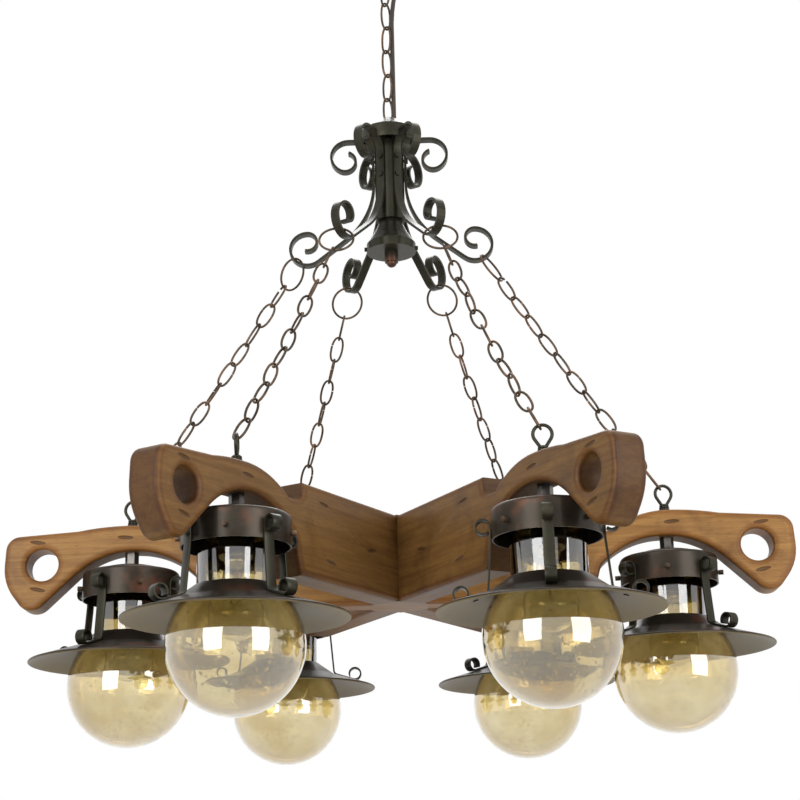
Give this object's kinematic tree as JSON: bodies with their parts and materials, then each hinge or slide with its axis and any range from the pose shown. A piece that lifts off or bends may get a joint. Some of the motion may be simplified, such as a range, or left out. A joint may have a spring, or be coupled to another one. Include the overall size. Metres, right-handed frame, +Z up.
{
  "type": "chain-hung wooden chandelier",
  "caption": "Radiating wooden arms hung on chains from a scrolled iron hub, with an amber glass globe lantern under each arm.",
  "frame": {"origin": "centre of the ceiling plate's top face, where it meets the ceiling", "axes": "+Z up into the ceiling, so the light hangs below; +X along arm 1, with the arms numbered anticlockwise from above; the picture looks along +Y"},
  "size_m": [0.9828, 0.8712, 1.0939],
  "materials": {
    "dark_bronze_paint": "dark bronze lacquer on spun sheet steel, rubbed through to reddish copper on the edges",
    "black_iron": "olive-black lacquer on bent strip and turned steel",
    "copper_brown_chain": "worn copper-brown lacquer on welded steel wire",
    "grey_steel": "grey machined hexagon steel",
    "cable_sheath": "brown cable sheath",
    "terminal_plastic": "ivory moulded plastic",
    "black_plastic": "black moulded lamp holder",
    "stained_wood": "stained and waxed hardwood with rounded edges and shallow tool gouges",
    "opal_glass": "frosted bulb",
    "amber_glass": "clear amber glass with fine seeds"
  },
  "bodies": {
    "ceiling": {"ceiling_plate": "dark_bronze_paint", "ceiling_canopy": "dark_bronze_paint", "canopy_nuts": "dark_bronze_paint"},
    "top_link": {"top_link": "copper_brown_chain"},
    "frame": {"terminal_block": "terminal_plastic", "supply_cable": "cable_sheath", "ceiling_chain": "copper_brown_chain", "hub_cap": "black_iron", "hub_eye_bolt": "black_iron", "hub_column": "black_iron", "hub_cup": "dark_bronze_paint", "hub_finial": "dark_bronze_paint", "hub_scroll_straps": "black_iron", "hub_screws": "copper_brown_chain", "suspension_chains": "copper_brown_chain", "arm_eye_bolts": "black_iron", "lamp_stems": "grey_steel", "wheel_core": "stained_wood", "wheel_arm_1": "stained_wood", "wheel_arm_2": "stained_wood", "wheel_arm_3": "stained_wood", "wheel_arm_4": "stained_wood", "wheel_arm_5": "stained_wood", "wheel_arm_6": "stained_wood"},
    "lamp_1": {"lamp_cap_1": "dark_bronze_paint", "lamp_ironwork_1": "black_iron", "lamp_socket_1": "black_plastic", "lamp_bulb_1": "opal_glass", "glass_globe_1": "amber_glass", "lamp_shade_1": "dark_bronze_paint"},
    "lamp_2": {"lamp_cap_2": "dark_bronze_paint", "lamp_ironwork_2": "black_iron", "lamp_socket_2": "black_plastic", "lamp_bulb_2": "opal_glass", "glass_globe_2": "amber_glass", "lamp_shade_2": "dark_bronze_paint"},
    "lamp_3": {"lamp_cap_3": "dark_bronze_paint", "lamp_ironwork_3": "black_iron", "lamp_socket_3": "black_plastic", "lamp_bulb_3": "opal_glass", "glass_globe_3": "amber_glass", "lamp_shade_3": "dark_bronze_paint"},
    "lamp_4": {"lamp_cap_4": "dark_bronze_paint", "lamp_ironwork_4": "black_iron", "lamp_socket_4": "black_plastic", "lamp_bulb_4": "opal_glass", "glass_globe_4": "amber_glass", "lamp_shade_4": "dark_bronze_paint"},
    "lamp_5": {"lamp_cap_5": "dark_bronze_paint", "lamp_ironwork_5": "black_iron", "lamp_socket_5": "black_plastic", "lamp_bulb_5": "opal_glass", "glass_globe_5": "amber_glass", "lamp_shade_5": "dark_bronze_paint"},
    "lamp_6": {"lamp_cap_6": "dark_bronze_paint", "lamp_ironwork_6": "black_iron", "lamp_socket_6": "black_plastic", "lamp_bulb_6": "opal_glass", "glass_globe_6": "amber_glass", "lamp_shade_6": "dark_bronze_paint"}
  },
  "joints": [
    {"name": "hook_swing", "type": "hinge", "parent": "ceiling", "child": "top_link", "pos_m": [0, 0, -0.051], "axis": [0.7071, 0.7071, 0], "range_deg": [-5, 5]},
    {"name": "link_swing", "type": "hinge", "parent": "top_link", "child": "frame", "pos_m": [0, 0, -0.0868], "axis": [-0.7071, 0.7071, 0], "range_deg": [-5, 5]},
    {"name": "lamp_turn_1", "type": "hinge", "parent": "frame", "child": "lamp_1", "pos_m": [0.335, 0, -0.86885], "axis": [0, 0, 1], "range_deg": [-170, 170]},
    {"name": "lamp_turn_2", "type": "hinge", "parent": "frame", "child": "lamp_2", "pos_m": [0.1675, 0.29012, -0.86885], "axis": [0, 0, 1], "range_deg": [-170, 170]},
    {"name": "lamp_turn_3", "type": "hinge", "parent": "frame", "child": "lamp_3", "pos_m": [-0.1675, 0.29012, -0.86885], "axis": [0, 0, 1], "range_deg": [-170, 170]},
    {"name": "lamp_turn_4", "type": "hinge", "parent": "frame", "child": "lamp_4", "pos_m": [-0.335, 0, -0.86885], "axis": [0, 0, 1], "range_deg": [-170, 170]},
    {"name": "lamp_turn_5", "type": "hinge", "parent": "frame", "child": "lamp_5", "pos_m": [-0.1675, -0.29012, -0.86885], "axis": [0, 0, 1], "range_deg": [-170, 170]},
    {"name": "lamp_turn_6", "type": "hinge", "parent": "frame", "child": "lamp_6", "pos_m": [0.1675, -0.29012, -0.86885], "axis": [0, 0, 1], "range_deg": [-170, 170]}
  ]
}
